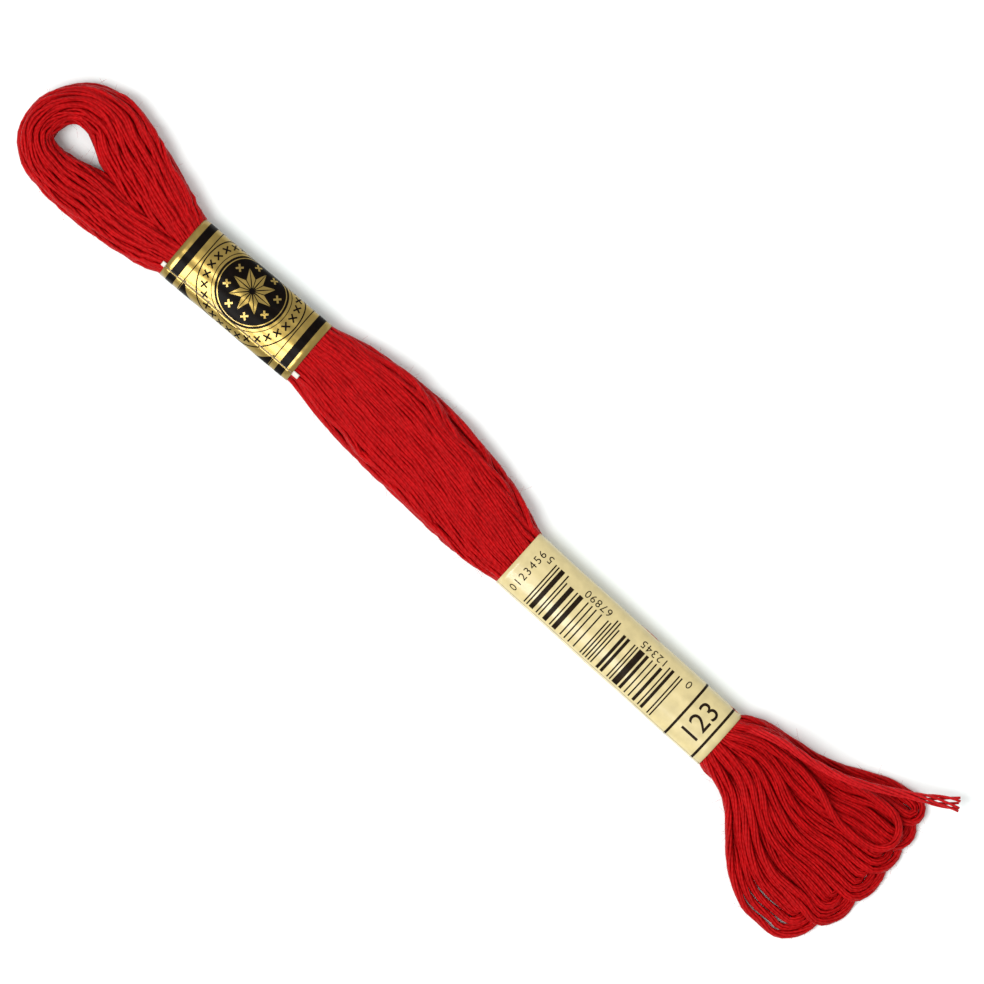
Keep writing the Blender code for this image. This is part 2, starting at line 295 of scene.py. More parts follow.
def bundle_threads(rng):
    """The threads' middle lines in their sections: (station, thread, sideways and up)."""
    sections = Sections()
    disc = disc_points(THREADS)
    flat = np.empty((sections.count, THREADS, 2))
    flat[:] = disc[None] * (sections.half * START_FILL)[:, None]
    x = sections.centre[:, 0]
    start, end, degrees = BUNDLE_TURN
    share = np.clip((x - start) / (end - start), 0, 1)
    turn = np.radians(degrees) * share**2 * (3 - 2 * share)
    n = sections.whole
    middle, half, fill = LEG_START
    for part, sign in ((slice(0, n), 1.0), (slice(sections.count - n, None), -1.0)):
        a = middle + half * disc[None, :, 0]
        b = START_FILL * disc[None, :, 1]
        angle = sign * turn[part][:, None]
        sideways = a * np.cos(angle) - b * np.sin(angle)
        up = a * np.sin(angle) + b * np.cos(angle)
        flat[part] = np.stack([sideways, up], axis=-1) * (sections.half[part] * fill)[:, None]
    stray = np.interp(x, (24.0, 34.0), STRAY[::-1])
    flat += strays(rng, THREADS, sections.along) * stray[:, None, None]
    width = np.clip(np.sqrt(4 * sections.room * THREAD_FILL / math.pi), *THREAD_WIDTHS)
    for _ in range(RELAX_ROUNDS):
        flat = sections.eased(flat, 0.5)
        flat = sections.eased(flat, 0.5)
        flat *= PRESSURE
        flat = sections.pushed(flat, width)
        flat = sections.contained(flat, width / 2)
    for _ in range(EASE_ROUNDS):
        flat = sections.eased(flat, 0.5)
    return sections, flat, width


def strand_ring(length, pitch, size, looseness, rng, count):
    """The strands' places round each thread's middle line: (station, thread, strand, 2)."""
    length = length[:, None, None]
    looseness = np.broadcast_to(looseness, len(length))[:, None, None]
    k = np.arange(STRANDS) * 2 * math.pi / STRANDS
    phase = rng.uniform(0, 2 * math.pi, (1, count, 1))
    own = rng.uniform(0, 2 * math.pi, (2, 1, count, STRANDS))
    pitches = rng.uniform(*WANDER_PITCHES, (2, 1, count, STRANDS))
    angle = 2 * math.pi * length / pitch + phase + k
    angle = angle + WANDER_TURN * looseness * np.sin(2 * math.pi * length / pitches[0] + own[0])
    uneven = 1 + OVAL * np.sin(2 * angle + phase)
    uneven += WANDER_SPREAD * looseness * np.sin(2 * math.pi * length / pitches[1] + own[1])
    ring = np.stack([np.cos(angle), np.sin(angle)], axis=-1)
    return ring * (size[:, None, None] * uneven)[..., None]


def fitted(sections, flat, radius):
    """The strands' sections, stretched sideways until the outermost ones reach the section's sides."""
    out = flat.copy()
    power = SQUARENESS / (SQUARENESS - 1)
    wide = np.abs(sections.half[:, 0] * np.cos(sections.lean)) ** power
    tall = np.abs(sections.half[:, 1] * np.sin(sections.lean)) ** power
    want = (wide + tall) ** (1 / power) - radius
    for sign in (1.0, -1.0):
        reach = (sign * flat[..., 0]).max(1)
        if sign < 0:
            n = sections.whole
            reach[:n] = flat[::-1][:n, :, 0].max(1)
            reach[-n:] = flat[:n, :, 0].max(1)[::-1]
        share = np.clip(want / reach, *STRETCH)
        share = np.convolve(np.pad(share, 1, mode="edge"), np.ones(3) / 3, mode="valid")
        side = sign * flat[..., 0] > 0
        out[..., 0] = np.where(side, flat[..., 0] * share[:, None], out[..., 0])
    return out


def bundle_strands(rng):
    """Every strand's line round the eye and along both legs, in the tables' millimetres."""
    sections, threads, width = bundle_threads(rng)
    looseness = np.interp(sections.centre[:, 0], (24.0, 34.0), LOOSENESS[::-1])
    ring = strand_ring(sections.along, BUNDLE_PITCH, width * RING_SHARE, looseness, rng, THREADS)
    radius = width * STRAND_SHARE
    flat = (threads[:, :, None] + ring).reshape(sections.count, -1, 2)
    flat = fitted(sections, flat, radius)
    slack = np.interp(sections.centre[:, 0], *UNDER_BANDS)
    flat = sections.contained(flat, radius - slack)
    return sections.world(flat).transpose(1, 0, 2), radius


def linked(name, mesh, mat):
    """A new object in the scene, with that mesh and material."""
    mesh.materials.append(mat)
    obj = bpy.data.objects.new(name, mesh)
    bpy.context.scene.collection.objects.link(obj)
    return obj


def add_uv(mesh, name, u, v, caps):
    """A UV map with one value along the strands and one round them; their caps are left out."""
    uv = np.stack(np.broadcast_arrays(u, v), axis=-1).reshape(-1)
    uv = np.concatenate([uv, np.zeros(caps.size * 2)])
    mesh.uv_layers.new(name=name).data.foreach_set("uv", uv)


CELL_MARGINS = (0.02, 0.05)  # of a strand's cell in the baked colours
STRAND_SHIFT = (7.31, 5.0)  # starts each strand at another place in the floss's pattern


def tubes(name, lines, radii, mat, sides=SIDES, columns=1):
    """Round strands as one mesh: lines is (strand, station, 3) and radii (strand, station)."""
    lines = np.asarray(lines, float)
    many, stations = lines.shape[:2]
    radii = np.broadcast_to(radii, (many, stations))
    along = np.gradient(lines, axis=1)
    along /= np.linalg.norm(along, axis=2, keepdims=True)
    aside = np.cross(along, (0.0, 0.0, 1.0))
    aside /= np.linalg.norm(aside, axis=2, keepdims=True)
    above = np.cross(aside, along)
    angle = np.arange(sides) * 2 * math.pi / sides
    ring = (
        aside[:, :, None] * np.cos(angle)[None, None, :, None]
        + above[:, :, None] * np.sin(angle)[None, None, :, None]
    )
    verts = place(lines[:, :, None] + ring * radii[:, :, None, None])
    index = np.arange(many * stations * sides).reshape(many, stations, sides)
    nxt = np.roll(index, -1, axis=2)
    quads = np.stack([index[:, :-1], nxt[:, :-1], nxt[:, 1:], index[:, 1:]], axis=-1)
    mesh = bpy.data.meshes.new(name)
    mesh.vertices.add(many * stations * sides)
    mesh.vertices.foreach_set("co", verts.reshape(-1))
    faces = quads.reshape(-1, 4)
    caps = np.concatenate([index[:, 0][:, ::-1], index[:, -1]])
    loops = np.concatenate([faces.reshape(-1), caps.reshape(-1)])
    starts = [np.arange(len(faces)) * 4, len(faces) * 4 + np.arange(len(caps)) * sides]
    starts = np.concatenate(starts)
    mesh.loops.add(len(loops))
    mesh.loops.foreach_set("vertex_index", loops)
    mesh.polygons.add(len(starts))
    mesh.polygons.foreach_set("loop_start", starts)
    mesh.update(calc_edges=True)
    mesh.shade_smooth()
    steps = np.linalg.norm(np.diff(lines, axis=1), axis=2)
    length = np.concatenate([np.zeros((many, 1)), np.cumsum(steps, axis=1)], axis=1)
    length += (np.arange(many) * STRAND_SHIFT[0] % STRAND_SHIFT[1])[:, None]
    u = np.stack([length[:, :-1], length[:, :-1], length[:, 1:], length[:, 1:]], axis=-1)
    round_it = (np.arange(sides)[:, None] + np.array([0.0, 1.0, 1.0, 0.0])) / sides
    v = round_it + np.arange(many)[:, None, None, None]
    add_uv(mesh, "strand", u[:, :, None], v, caps)
    # For the baked colours each strand has a cell of its own, in so many columns.
    row, column = np.divmod(np.arange(many), columns)
    share = np.arange(stations) / (stations - 1)
    beside, above_it = CELL_MARGINS
    u = (column[:, None] + beside + (1 - 2 * beside) * share) / columns
    u = np.stack([u[:, :-1], u[:, :-1], u[:, 1:], u[:, 1:]], axis=-1)
    v = (row[:, None, None, None] + above_it + (1 - 2 * above_it) * round_it) / (row[-1] + 1)
    add_uv(mesh, "OFBake", u[:, :, None], v, caps)
    return linked(name, mesh, mat)


# ---- the fan of loops

# How the loops spread from the long band's mouth: the edges of the fan.
SPREAD = (
    # x, upper edge y, lower edge y
    (138.0, 1.45, -7.75),
    (140.0, 2.3, -7.85),
    (142.5, 3.0, -8.15),
    (145.0, 3.5, -9.0),
    (147.5, 4.1, -11.3),
    (150.0, 4.5, -13.8),
    (152.5, 5.3, -16.0),
    (155.0, 6.3, -17.6),
    (157.5, 7.6, -18.7),
    (160.0, 9.0, -19.0),
)
# The end of the fan, at shares of the way from its upper corner to its lower one.
FAN_END = (
    # share, x, y
    (0.0, 165.4, 10.6),
    (0.08, 168.0, 8.4),
    (0.18, 168.5, 5.0),
    (0.30, 168.8, 1.4),
    (0.42, 169.4, -2.4),
    (0.52, 169.3, -5.6),
    (0.62, 168.9, -8.8),
    (0.72, 167.8, -11.8),
    (0.82, 166.7, -14.6),
    (0.90, 165.6, -16.9),
    (1.0, 162.6, -19.2),
)
# The loops turn towards +Y in lobes of a few nested ones, and each lobe's returning passes lie
# under the next one's others.
LOBES = (
    # share of the lobe's outermost pass, its loops, mm between them, the outermost loop's width, its depth
    (1.0, 5, 1.5, 8.8, 3.4),
    (0.79, 5, 1.2, 7.6, 2.4),
    (0.59, 4, 1.25, 6.8, 2.2),
    (0.43, 4, 1.2, 6.2, 2.1),
    (0.28, 3, 1.25, 5.4, 2.0),
    (0.14, 2, 1.3, 3.6, 1.6),
)
# The one loop that opens wide, on top of the others.
OPEN_LOOP = (
    # x, y, z
    (138.0, 0.6, 4.3),
    (143.0, 1.9, 4.5),
    (148.0, 2.7, 4.4),
    (152.5, 3.6, 4.1),
    (156.7, 4.9, 3.7),
    (161.0, 6.2, 3.4),
    (164.2, 6.3, 3.3),
    (166.5, 4.9, 3.2),
    (167.0, 2.8, 3.1),
    (165.6, 0.9, 3.1),
    (162.7, -0.1, 3.2),
    (159.5, -0.2, 3.4),
    (156.5, 0.4, 3.7),
    (153.2, 1.3, 4.0),
    (149.0, 1.9, 4.3),
    (143.5, 1.0, 4.4),
    (138.0, -0.5, 4.3),
)
# The height of the loops' middle lines: on the table, and on top of others.
FAN_LEVELS = (
    # x, lower, upper
    (138.0, 1.7, 3.9),
    (142.5, 1.5, 3.6),
    (147.5, 1.1, 2.9),
    (152.5, 0.8, 2.2),
    (157.5, 0.7, 1.9),
    (170.0, 0.6, 1.7),
)
FAN_WIDTH = 29.0  # across the fan's end
LOOP_STRAY = 0.3
FAN_THREAD = 1.2
FAN_PITCH = -19.0  # of the strands' twist
FAN_LOOSENESS = 0.4
FAN_STRAND = 0.215  # a strand's radius
NARROWING = 1.45  # of the loops of a lobe, for each millimetre that they lie further in
NARROWEST = 1.7
NESTING = 0.55  # from one loop's end to the next one's
FAN_FOCUS = (152.0, 0.75)  # the loops' ends point to this x, at this share of their own y
TURN_POINTS = 11

SLEEVE_HALF = (4.65, 2.35)  # of the room inside the long band
SLEEVE_MIDDLE = (-3.3, 2.75)  # at its mouth
SLEEVE_END = 137.9
SLEEVE_SLOPE = 0.0248
SLEEVE_STATIONS = (118.0, 126.0, 134.0, 137.6)
SQUEEZED = 0.97  # a thread's diameter in there
SQUEEZED_RADIUS = 0.48
PACKING_ROUNDS = 200
# The passes' first places in the long band's mouth.
MOUTH_EDGE = 1.2  # the outermost pass's y
MOUTH_WIDTH = 9.0
MOUTH_LEVELS = (4.45, 2.05)  # of the passes out and back
LAYERS = 3  # in each of them
LAYER_STEP = 0.8
OPEN_LOOP_MOUTH = [(0.6, 4.6), (-0.5, 4.6)]

# How the loops settle on each other.
SETTLE_ROUNDS = 12
SETTLE_STEPS = 12  # in each round
LOOP_STEP = 1.0  # between a loop's stations
INSIDE = 138.2  # the long band holds the loops before this x
NEAR = 1.7  # stations closer than this may push each other
OWN_STATIONS = 5  # either side of a station, which don't push it
KEEP = np.array([0.97, 0.97, 0.99])  # of a station's move from home, in each step
SINK = 0.03  # in each step
SLEEVE_FLOOR = 0.8


def packed(mouth):
    """The passes' places in the long band's mouth, pushed apart to fill it."""
    mouth = np.array(mouth)[None]
    for _ in range(PACKING_ROUNDS):
        mouth = mouth + apart(mouth, np.array([SQUEEZED]))
        mouth = in_mouth(mouth)
    return mouth[0]


def in_mouth(points):
    """The points of a section, drawn back into the long band's mouth."""
    middle, half = np.array([SLEEVE_MIDDLE]), np.array([SLEEVE_HALF])
    return within(points, middle, half, np.zeros(1), np.array([SQUEEZED_RADIUS]))


def in_sleeve(y, z):
    """The route of one pass inside the long band."""
    return [(x, y + sleeve_middle(x) - SLEEVE_MIDDLE[0], z) for x in SLEEVE_STATIONS]


def fan_ends(rng):
    """Each loop's end: its two legs' shares, width, depth, the middle of its turn, the way in."""
    end = np.array(FAN_END)
    ends = []
    for share, count, step, width, depth in LOBES:
        for k in range(count):
            out = share - k * step / FAN_WIDTH
            wide = max(width - NARROWING * k * step, NARROWEST)
            wide += rng.uniform(-LOOP_STRAY, LOOP_STRAY)
            deep = depth * (wide / width) ** 0.7
            middle = out - wide / 2 / FAN_WIDTH
            tip = np.array([np.interp(middle, end[:, 0], end[:, n]) for n in (1, 2)])
            inward = np.array([FAN_FOCUS[0], tip[1] * FAN_FOCUS[1]]) - tip
            inward /= np.linalg.norm(inward)
            tip += inward * (FAN_THREAD / 2 + NESTING * k + rng.uniform(0, LOOP_STRAY))
            ends.append((out, max(out - wide / FAN_WIDTH, 0.0), wide, deep, tip, inward))
    return ends


def fan_routes(rng):
    """Each loop's line from the long band out to its end and back, before they settle."""
    spread, levels = np.array(SPREAD), np.array(FAN_LEVELS)
    ends = fan_ends(rng)
    mouth = []
    for which in (0, 1):
        for k, end in enumerate(ends):
            height = MOUTH_LEVELS[which] - LAYER_STEP * (k % LAYERS)
            mouth.append((MOUTH_EDGE - MOUTH_WIDTH * end[which], height))
    mouth = packed(mouth + OPEN_LOOP_MOUTH)
    routes = []
    for k, (out, back, wide, deep, tip, inward) in enumerate(ends):
        aside = np.array([-inward[1], inward[0]])
        centre = tip + inward * deep
        legs = []
        heights = []
        for which, (share, sign) in enumerate(((out, 1.0), (back, -1.0))):
            rows = in_sleeve(*mouth[k + which * len(ends)])
            last = centre + aside * sign * wide / 2
            level = levels[:, 2 - which]
            above = mouth[k + which * len(ends)][1] - level[0]
            for x, upper, lower in spread[2:]:
                if x < last[0] - 2.0:
                    height = np.interp(x, levels[:, 0], level)
                    height += above * np.interp(x, (138.0, 152.0), (1.0, 0.0))
                    rows.append((x, upper + (lower - upper) * share, height))
            heights.append(np.interp(last[0], levels[:, 0], level))
            rows.append((*last, heights[-1]))
            legs.append(smooth_rows(rows, step=1.1))
        turn = []
        for angle in np.linspace(math.pi / 2, -math.pi / 2, TURN_POINTS)[1:-1]:
            spot = centre - inward * math.cos(angle) ** 0.8 * deep
            spot = spot + aside * math.sin(angle) * wide / 2
            share = 0.5 + 0.5 * math.sin(angle)
            turn.append((*spot, heights[1] + (heights[0] - heights[1]) * share))
        routes.append(np.concatenate([legs[0], np.array(turn), legs[1][::-1]]))
    opened = in_sleeve(*mouth[-2]) + list(OPEN_LOOP[1:-1]) + in_sleeve(*mouth[-1])[::-1]
    routes.append(smooth_rows(opened, step=1.1))
    return routes


def sleeve_middle(x):
    """The long band's middle line: y at x."""
    return SLEEVE_MIDDLE[0] + (np.asarray(x) - SLEEVE_END) * SLEEVE_SLOPE


def evened(route):
    """A route's points, spaced evenly."""
    steps = np.linalg.norm(np.diff(route, axis=0), axis=1)
    length = np.concatenate([[0.0], np.cumsum(steps)])
    at = np.linspace(0, length[-1], math.ceil(length[-1] / LOOP_STEP) + 1)
    return np.stack([np.interp(at, length, route[:, k]) for k in range(3)], axis=1)


def settled(routes):
    """The loops after they have pushed each other apart and sunk onto the table."""
    routes = [evened(route) for route in routes]
    sizes = [len(route) for route in routes]
    ends = np.cumsum(sizes)
    points = np.concatenate(routes)
    home = points.copy()
    owner = np.repeat(np.arange(len(routes)), sizes)
    place_in = np.concatenate([np.arange(size) for size in sizes])
    inside = points[:, 0] < INSIDE
    first = np.zeros(len(points), bool)
    first[ends - 1] = True
    first[np.concatenate([[0], ends[:-1]])] = True
    width = np.where(inside, SQUEEZED, FAN_THREAD)
    spread = np.array(SPREAD)
    open_end = points[:, 0] > spread[-1, 0]
    upper = np.where(open_end, 99.0, np.interp(points[:, 0], spread[:, 0], spread[:, 1]))
    lower = np.where(open_end, -99.0, np.interp(points[:, 0], spread[:, 0], spread[:, 2]))
    for _ in range(SETTLE_ROUNDS):
        tree = KDTree(len(points))
        for i, point in enumerate(points):
            tree.insert(point, i)
        tree.balance()
        a, b = [], []
        for i, point in enumerate(points):
            for _co, j, _d in tree.find_range(point, NEAR):
                apart_on_it = abs(place_in[i] - place_in[j]) > OWN_STATIONS
                if j > i and (owner[i] != owner[j] or apart_on_it):
                    a.append(i)
                    b.append(j)
        a, b = np.array(a), np.array(b)
        for _ in range(SETTLE_STEPS):
            moved = points - home
            mean = moved.copy()
            mean[1:-1] = (moved[:-2] + moved[2:]) / 2
            mean[first] = moved[first]
            moved += 0.5 * (mean - moved)
            points = home + moved * KEEP
            points[:, 2] -= np.where(inside, 0.0, SINK)
            gap = points[a] - points[b]
            distance = np.linalg.norm(gap, axis=1) + 1e-6
            want = (width[a] + width[b]) / 2
            push = (0.5 * np.clip(want - distance, 0, None) / distance)[:, None] * gap
            for axis in range(3):
                points[:, axis] += np.bincount(a, push[:, axis], len(points))
                points[:, axis] -= np.bincount(b, push[:, axis], len(points))
            points[:, 1] = np.clip(points[:, 1], lower, upper)
            floor = np.where(inside, SLEEVE_FLOOR, FAN_THREAD / 2)
            points[:, 2] = np.maximum(points[:, 2], floor)
            held = points[None, inside][:, :, 1:]
            shift = sleeve_middle(points[inside, 0]) - SLEEVE_MIDDLE[0]
            held[0, :, 0] -= shift
            held = in_mouth(held)
            held[0, :, 0] += shift
            points[inside, 1:] = held[0]
            points[inside, 0] = home[inside, 0]
    starts = np.concatenate([[0], ends[:-1]])
    return [points[s:e] for s, e in zip(starts, ends)]


def twisted(line, rng, strand):
    """Six strands of that radius round one thread's middle line."""
    steps = np.linalg.norm(np.diff(line, axis=0), axis=1)
    length = np.concatenate([[0.0], np.cumsum(steps)])
    along = np.gradient(line, axis=0)
    along /= np.linalg.norm(along, axis=1)[:, None]
    aside = np.cross(along, (0.0, 0.0, 1.0))
    aside /= np.linalg.norm(aside, axis=1)[:, None]
    above = np.cross(aside, along)
    size = np.full(len(line), FAN_THREAD / 2 - strand)
    ring = strand_ring(length, FAN_PITCH, size, FAN_LOOSENESS, rng, 1)[:, 0]
    lines = line[:, None] + ring[..., :1] * aside[:, None] + ring[..., 1:] * above[:, None]
    return lines.transpose(1, 0, 2)


# ---- fibres that stand off the floss

FIBRES = 2600
FIBRE_RADIUS = 0.012
FIBRE_LENGTH = (0.6, 1.7)
FIBRE_CELL = 0.6  # of the grid that finds the floss's edges
BARE = ((-9.0, 28.7), (57.2, 96.0), (140.2, 175.0))  # the stretches of x with no band over them
FIBRE_DEPTH = 0.25  # under the floss's top, at most
INNER_SHARE = 0.12  # of the fibres off the outline, against those on it
WORN = (158.0, 2.5)  # from this x on there are so many times more
FIBRE_RISE = 0.5
FIBRE_STRAY = (0.3, 0.6)  # of its start and its bend


def fibres(rng, strands):
    """Loose fibres on the floss, most of them along its outline."""
    spots = np.concatenate([lines[:, 1:-1].reshape(-1, 3) for lines in strands])
    heading = np.concatenate([(lines[:, 2:] - lines[:, :-2]).reshape(-1, 3) for lines in strands])
    cell = np.floor((spots[:, :2] - spots[:, :2].min(0)) / FIBRE_CELL).astype(int) + 1
    taken = np.zeros(cell.max(0) + 2, bool)
    taken[cell[:, 0], cell[:, 1]] = True
    top = np.zeros(taken.shape)
    np.maximum.at(top, (cell[:, 0], cell[:, 1]), spots[:, 2])
    open_side = np.zeros((*taken.shape, 2))
    for move, axis, sign in ((1, 0, -1.0), (-1, 0, 1.0), (1, 1, -1.0), (-1, 1, 1.0)):
        open_side[..., axis] += sign * ~np.roll(taken, move, axis=axis)
    outward = open_side[cell[:, 0], cell[:, 1]]
    edge = (outward != 0).any(1)
    upper = spots[:, 2] > top[cell[:, 0], cell[:, 1]] - FIBRE_DEPTH
    bare = np.zeros(len(spots), bool)
    for low, high in BARE:
        bare |= (spots[:, 0] > low) & (spots[:, 0] < high)
    weight = np.where(edge, 1.0, INNER_SHARE) * upper * bare
    weight *= np.where(spots[:, 0] > WORN[0], WORN[1], 1.0)
    chosen = rng.choice(len(spots), FIBRES, replace=False, p=weight / weight.sum())
    along = heading[chosen] / np.linalg.norm(heading[chosen], axis=1)[:, None]
    out = np.concatenate([outward[chosen], np.full((FIBRES, 1), FIBRE_RISE)], axis=1)
    start = along * rng.choice((-1.0, 1.0), (FIBRES, 1)) + 0.5 * out
    start += rng.normal(0, FIBRE_STRAY[0], (FIBRES, 3))
    bend = 0.6 * out + rng.normal(0, FIBRE_STRAY[1], (FIBRES, 3))
    t = np.linspace(0, 1, 5)[None, :, None]
    size = rng.uniform(*FIBRE_LENGTH, (FIBRES, 1, 1)) * rng.uniform(0.4, 1, (FIBRES, 1, 1))
    lines = spots[chosen][:, None] + size * (start[:, None] * t + bend[:, None] * t**2 * 0.6)
    lines[..., 2] = np.maximum(lines[..., 2], 0.05)
    return lines


# ---- materials


def material(name, values):
    """A new material, with those values on its shader's own sockets."""
    mat = bpy.data.materials.new(name)
    mat.use_nodes = True
    shader = mat.node_tree.nodes["Principled BSDF"]
    for socket, value in values.items():
        shader.inputs[socket].default_value = value
    return mat, mat.node_tree, shader


def ramped(tree, value, shader, stops):
    """The base colour, from a value's place between two (position, colour) stops."""
    ramp = tree.nodes.new("ShaderNodeValToRGB")
    for element, (position, colour) in zip(ramp.color_ramp.elements, stops):
        element.position = position
        element.color = (*colour, 1.0)
    tree.links.new(value, ramp.inputs[0])
    tree.links.new(ramp.outputs[0], shader.inputs["Base Color"])


def bumped(tree, value, shader, strength, distance):
    bump = tree.nodes.new("ShaderNodeBump")
    bump.inputs["Strength"].default_value = strength
    bump.inputs["Distance"].default_value = distance
    tree.links.new(value, bump.inputs["Height"])
    tree.links.new(bump.outputs[0], shader.inputs["Normal"])


def noise_over(tree, place_in, scale, detail):
    noise = tree.nodes.new("ShaderNodeTexNoise")
    noise.inputs["Scale"].default_value = scale
    noise.inputs["Detail"].default_value = detail
    tree.links.new(place_in, noise.inputs["Vector"])
    return noise.outputs[0]


def blotches(tree, scale, detail):
    """Noise over the piece's own shape."""
    coords = tree.nodes.new("ShaderNodeTexCoord")
    return noise_over(tree, coords.outputs["Object"], scale, detail)


def maths(tree, operation, *values):
    """A Math node, with a value or a socket for each of its inputs."""
    node = tree.nodes.new("ShaderNodeMath")
    node.operation = operation
    for socket, value in zip(node.inputs, values):
        if isinstance(value, float):
            socket.default_value = value
        else:
            tree.links.new(value, socket)
    return node.outputs[0]


PLY_LENGTH = 1.7  # of a strand's own twist, which has two plies


def floss_material(name, deep, bright):
    """Cotton with a soft sheen: a strand's two plies, with painted shade darkening the grooves between
    them, and streaks along it.
    """
    sheen = {"Roughness": 0.55, "Specular IOR Level": 0.35, "Specular Tint": (1.0, 0.22, 0.22, 1.0)}
    mat, tree, shader = material(name, sheen)
    uv = tree.nodes.new("ShaderNodeUVMap")
    uv.uv_map = "strand"
    parts = tree.nodes.new("ShaderNodeSeparateXYZ")
    tree.links.new(uv.outputs[0], parts.inputs[0])
    along = maths(tree, "MULTIPLY", parts.outputs["X"], 1 / PLY_LENGTH)
    phase = maths(tree, "ADD", along, parts.outputs["Y"])
    ply = maths(tree, "SINE", maths(tree, "MULTIPLY", phase, 4 * math.pi))
    streaks = tree.nodes.new("ShaderNodeVectorMath")
    streaks.operation = "MULTIPLY"
    streaks.inputs[1].default_value = (0.45, 1.7, 1.0)
    tree.links.new(uv.outputs[0], streaks.inputs[0])
    noise = noise_over(tree, streaks.outputs[0], 1.0, 3.0)
    # The colour mixes the streaks' noise, the strands' own uneven tone, with the plies' sine, painted
    # shade that darkens the grooves between the plies.
    tone_and_groove_shade = maths(tree, "MULTIPLY_ADD", ply, 0.07, noise)
    ramped(tree, tone_and_groove_shade, shader, ((0.15, deep), (0.8, bright)))
    bumped(tree, ply, shader, 0.35, 0.05 * MM)
    return mat


def paper_material(name, colour, roughness, metallic=0.0):
    """Coated or foiled paper, with faint blotches in its colour and gloss."""
    coat = {"Metallic": metallic, "Coat Weight": 0.35, "Coat Roughness": 0.12}
    mat, tree, shader = material(name, coat)
    noise = blotches(tree, 700.0, 4.0)
    colour = np.array(colour)
    ramped(tree, noise, shader, ((0.3, 0.9 * colour), (0.7, 1.08 * colour)))
    gloss = tree.nodes.new("ShaderNodeMapRange")
    gloss.inputs["To Min"].default_value = roughness - 0.08
    gloss.inputs["To Max"].default_value = roughness + 0.08
    tree.links.new(noise, gloss.inputs["Value"])
    tree.links.new(gloss.outputs[0], shader.inputs["Roughness"])
    bumped(tree, noise, shader, 0.15, 0.04 * MM)
    return mat


def ink_material(name, colour):
    """Printing ink, a little thin in places."""
    mat, tree, shader = material(name, {"Roughness": 0.34, "Specular IOR Level": 0.05})
    noise = blotches(tree, 1500.0, 2.0)
    colour = np.array(colour)
    ramped(tree, noise, shader, ((0.35, colour), (0.8, 2.5 * colour)))
    return mat


# ---- the paper bands

BANDS = {
    # name: x at both ends, y at both ends, width, underside z, crown z, and where the strip's outer
    # end has its edge, round from the crown
    "short_band": ((30.7, 55.0), (-5.05, -3.6), 10.8, 0.05, 5.75, -4.05),
    "long_band": ((97.9, 137.9), (-4.29, -3.3), 9.9, 0.05, 5.5, -5.5),
}
BAND_SQUARENESS = 2.5
PAPER = 0.12
LAP_GAP = 0.02  # between the lap's two layers
LAP = 4.5  # of the strip's end over its beginning
LAP_STEP = 2.5  # along which it climbs onto the layer beneath
# The paper's ripples: each one's height, and its radians per millimetre round and along the band.
RIPPLES = ((0.018, 2.1, 0.11), (0.014, 3.7, -0.17), (0.02, 0.6, 0.43))
PAPER_INSET = 0.05  # of the paper from the band's size
INK_LIFT = 0.012
OVERPRINT_LIFT = 0.022
INK_CELLS = (1.0, 0.3)  # along and round the band
TIPS = (0.65, 1.1)  # of the short band's inner end, past its left and right ends
TIP_SIDES = (-0.35, 0.45)  # from the lap's edge
EDGE_MARGIN = 0.2  # from the printed stripes' ends to the middle of the back


class Sleeve:
    """A paper band: t runs along it from its left end and p round it from the crown, towards +Y."""

    def __init__(self, name, rng):
        (x0, x1), (y0, y1), width, low, high, self.lap_edge = BANDS[name]
        self.length = math.hypot(x1 - x0, y1 - y0)
        self.start = np.array([x0, y0, (low + high) / 2])
        self.axis = np.array([x1 - x0, y1 - y0, 0.0]) / self.length
        self.aside = np.array([-self.axis[1], self.axis[0], 0.0])
        angle = math.pi / 2 - np.linspace(-math.pi, math.pi, 2001)
        power = 2 / BAND_SQUARENESS
        c, s = np.cos(angle), np.sin(angle)
        self.a = np.sign(c) * np.abs(c) ** power * width / 2
        self.b = np.sign(s) * np.abs(s) ** power * (high - low) / 2
        steps = np.hypot(np.diff(self.a), np.diff(self.b))
        self.p = np.concatenate([[0.0], np.cumsum(steps)])
        self.around = self.p[-1]
        self.p -= self.around / 2
        slope = np.stack([np.gradient(self.a, self.p), np.gradient(self.b, self.p)], axis=1)
        slope /= np.linalg.norm(slope, axis=1)[:, None]
        self.out = np.stack([-slope[:, 1], slope[:, 0]], axis=1)
        self.waves = rng.uniform(0, 2 * math.pi, 6)

    def points(self, t, p, lift=0.0):
        """Places on the band's outside, raised by the lift."""
        t, p = np.asarray(t, float), np.asarray(p, float)
        p = (p + self.around / 2) % self.around - self.around / 2
        a, b = np.interp(p, self.p, self.a), np.interp(p, self.p, self.b)
        na, nb = np.interp(p, self.p, self.out[:, 0]), np.interp(p, self.p, self.out[:, 1])
        ripple = 0.0
        for (height, u, v), wave in zip(RIPPLES, self.waves):
            ripple = ripple + height * np.sin(p * u + t * v + wave)
        off = lift + ripple - PAPER_INSET
        a, b = a + na * off, b + nb * off
        spots = self.start + t[..., None] * self.axis + a[..., None] * self.aside
        return spots + b[..., None] * np.array([0, 0, 1.0])


def grid_mesh(name, points, mat):
    """An object over a grid of points."""
    rows, columns = points.shape[:2]
    mesh = bpy.data.meshes.new(name)
    index = np.arange(rows * columns).reshape(rows, columns)
    quads = np.stack([index[:-1, :-1], index[:-1, 1:], index[1:, 1:], index[1:, :-1]], axis=-1)
    mesh.from_pydata(place(points.reshape(-1, 3)).tolist(), [], quads.reshape(-1, 4).tolist())
    mesh.shade_smooth()
    return linked(name, mesh, mat)


